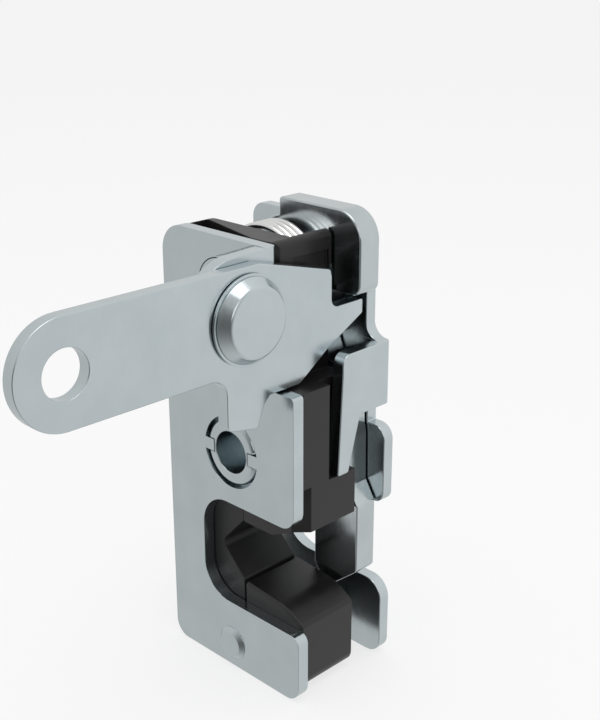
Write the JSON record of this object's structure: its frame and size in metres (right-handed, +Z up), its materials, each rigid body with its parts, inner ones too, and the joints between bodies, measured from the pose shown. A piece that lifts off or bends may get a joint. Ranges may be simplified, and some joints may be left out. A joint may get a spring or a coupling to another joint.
{
  "type": "rotary latch",
  "caption": "Riveted steel rotary latch with a moulded housing, a sprung rotor and trigger, and a side release lever with a cable hole.",
  "frame": {"origin": "on the lower bushing's axis at the front plate's front face", "axes": "+X out of the mouth, +Y from the front plate to the rear plate, +Z up"},
  "size_m": [0.0281, 0.0611, 0.0721],
  "materials": {
    "zinc_steel": "bright zinc plated sheet, satin",
    "blade_steel": "zinc plated blade steel, semi-mirror",
    "spring_steel": "bright drawn wire",
    "black_plastic": "moulded, slight sheen",
    "black_rubber": "moulded, matt"
  },
  "bodies": {
    "case": {"front_plate": "zinc_steel", "rear_plate": "zinc_steel", "housing": "black_plastic", "bumper": "black_rubber", "lower_bushing": "zinc_steel", "upper_bushing": "zinc_steel", "corner_rivet": "zinc_steel", "rotor_spring": "spring_steel", "trigger_spring": "spring_steel", "rotor_washer": "black_plastic", "lever_washer": "zinc_steel", "lever_rivet": "zinc_steel"},
    "rotor": {"rotor": "blade_steel"},
    "trigger": {"trigger": "blade_steel"},
    "lever": {"release_lever": "zinc_steel"}
  },
  "joints": [
    {"name": "lever_pivot", "type": "hinge", "parent": "case", "child": "lever", "pos_m": [0.00915, -0.00547, 0.0241], "axis": [1, 0, 0], "range_deg": [0, 11.2], "stiffness_Nm_per_rad": 0.05, "springref_deg": -28.65},
    {"name": "trigger_pivot", "type": "hinge", "parent": "case", "child": "trigger", "pos_m": [-0.00179, 0.0159, 0.02484], "axis": [0, -1, 0], "range_deg": [0, 22.4]},
    {"name": "rotor_pivot", "type": "hinge", "parent": "case", "child": "rotor", "pos_m": [0, 0.0159, 0], "axis": [0, -1, 0], "range_deg": [0, 56]}
  ],
  "couplings": [
    {"joint": "trigger_pivot", "follows": "lever_pivot", "ratio": 2},
    {"joint": "rotor_pivot", "follows": "lever_pivot", "ratio": 5}
  ]
}
